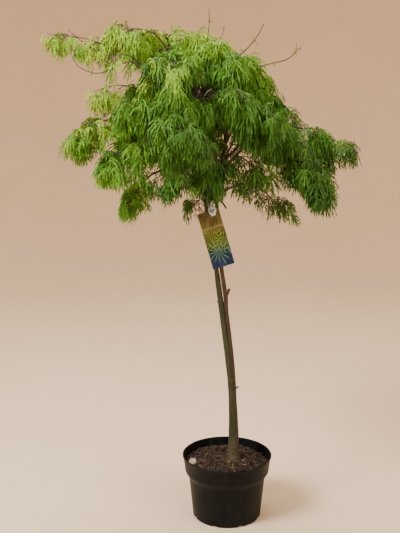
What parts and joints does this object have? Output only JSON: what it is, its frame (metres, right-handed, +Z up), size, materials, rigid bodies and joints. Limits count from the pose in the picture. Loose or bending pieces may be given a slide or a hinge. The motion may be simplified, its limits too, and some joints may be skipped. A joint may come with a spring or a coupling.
{
  "type": "potted weeping laceleaf maple",
  "caption": "Weeping laceleaf maple grafted high on a slender twin stem, in full green leaf, growing in a round black nursery pot with a hanging label.",
  "frame": {"origin": "centre of the pot's flat underside", "axes": "+Z up, +X to the right and +Y to the back as the part is seen from its front, where the label hangs"},
  "size_m": [0.8048, 0.681, 1.334],
  "materials": {
    "pot": "satin black moulded plastic",
    "soil": "dry bark and peat compost",
    "bark": "smooth olive green bark with fine vertical fissures",
    "young_bark": "smooth red brown bark",
    "leaf_lime": "soft matte young leaf, yellow green",
    "leaf_green": "soft matte leaf, bright mid green",
    "leaf_deep": "soft matte leaf, deep green",
    "label": "glossy printed card with a plain leaf design",
    "tag": "plain white plastic"
  },
  "bodies": {
    "root": {"pot": "pot", "soil": "soil", "trunk": "bark", "left_leader": "bark", "right_leader": "young_bark", "plant_label": "label", "price_tag": "tag", "bough_far_left": "bark", "foliage_far_left": "leaf_lime", "bough_loop_left": "bark", "foliage_loop_left": "leaf_lime", "bough_top_left": "bark", "foliage_top_left": "leaf_lime", "bough_top_centre": "bark", "foliage_top_centre": "leaf_lime", "bough_top_right": "bark", "foliage_top_right": "leaf_lime", "bough_right_shoulder": "bark", "foliage_right_shoulder": "leaf_green", "bough_front_upper": "bark", "foliage_front_upper": "leaf_lime", "bough_upper_left": "bark", "foliage_upper_left": "leaf_green", "bough_front_right": "bark", "foliage_front_right": "leaf_green", "bough_left_mid": "bark", "foliage_left_mid": "leaf_green", "bough_left_finger": "bark", "foliage_left_finger": "leaf_green", "bough_left_lower": "bark", "foliage_left_lower": "leaf_green", "bough_left_tail": "bark", "foliage_left_tail": "leaf_deep", "bough_front_centre": "bark", "foliage_front_centre": "leaf_green", "bough_centre_bottom": "bark", "foliage_centre_bottom": "leaf_deep", "bough_left_drop": "bark", "foliage_left_drop": "leaf_deep", "foliage_tag_clump": "leaf_deep", "bough_right_low": "bark", "foliage_right_low": "leaf_deep", "bough_bottom_right": "bark", "foliage_bottom_right": "leaf_deep", "bough_right_fall": "bark", "foliage_right_fall": "leaf_green", "bough_right_finger": "bark", "foliage_right_finger": "leaf_green", "bough_back_left": "bark", "foliage_back_left": "leaf_green", "bough_back_top": "bark", "foliage_back_top": "leaf_lime", "bough_back_centre": "bark", "foliage_back_centre": "leaf_green", "bough_back_right": "bark", "foliage_back_right": "leaf_green", "bough_back_left_low": "bark", "foliage_back_left_low": "leaf_deep", "bough_back_right_low": "bark", "foliage_back_right_low": "leaf_deep"}
  },
  "joints": []
}
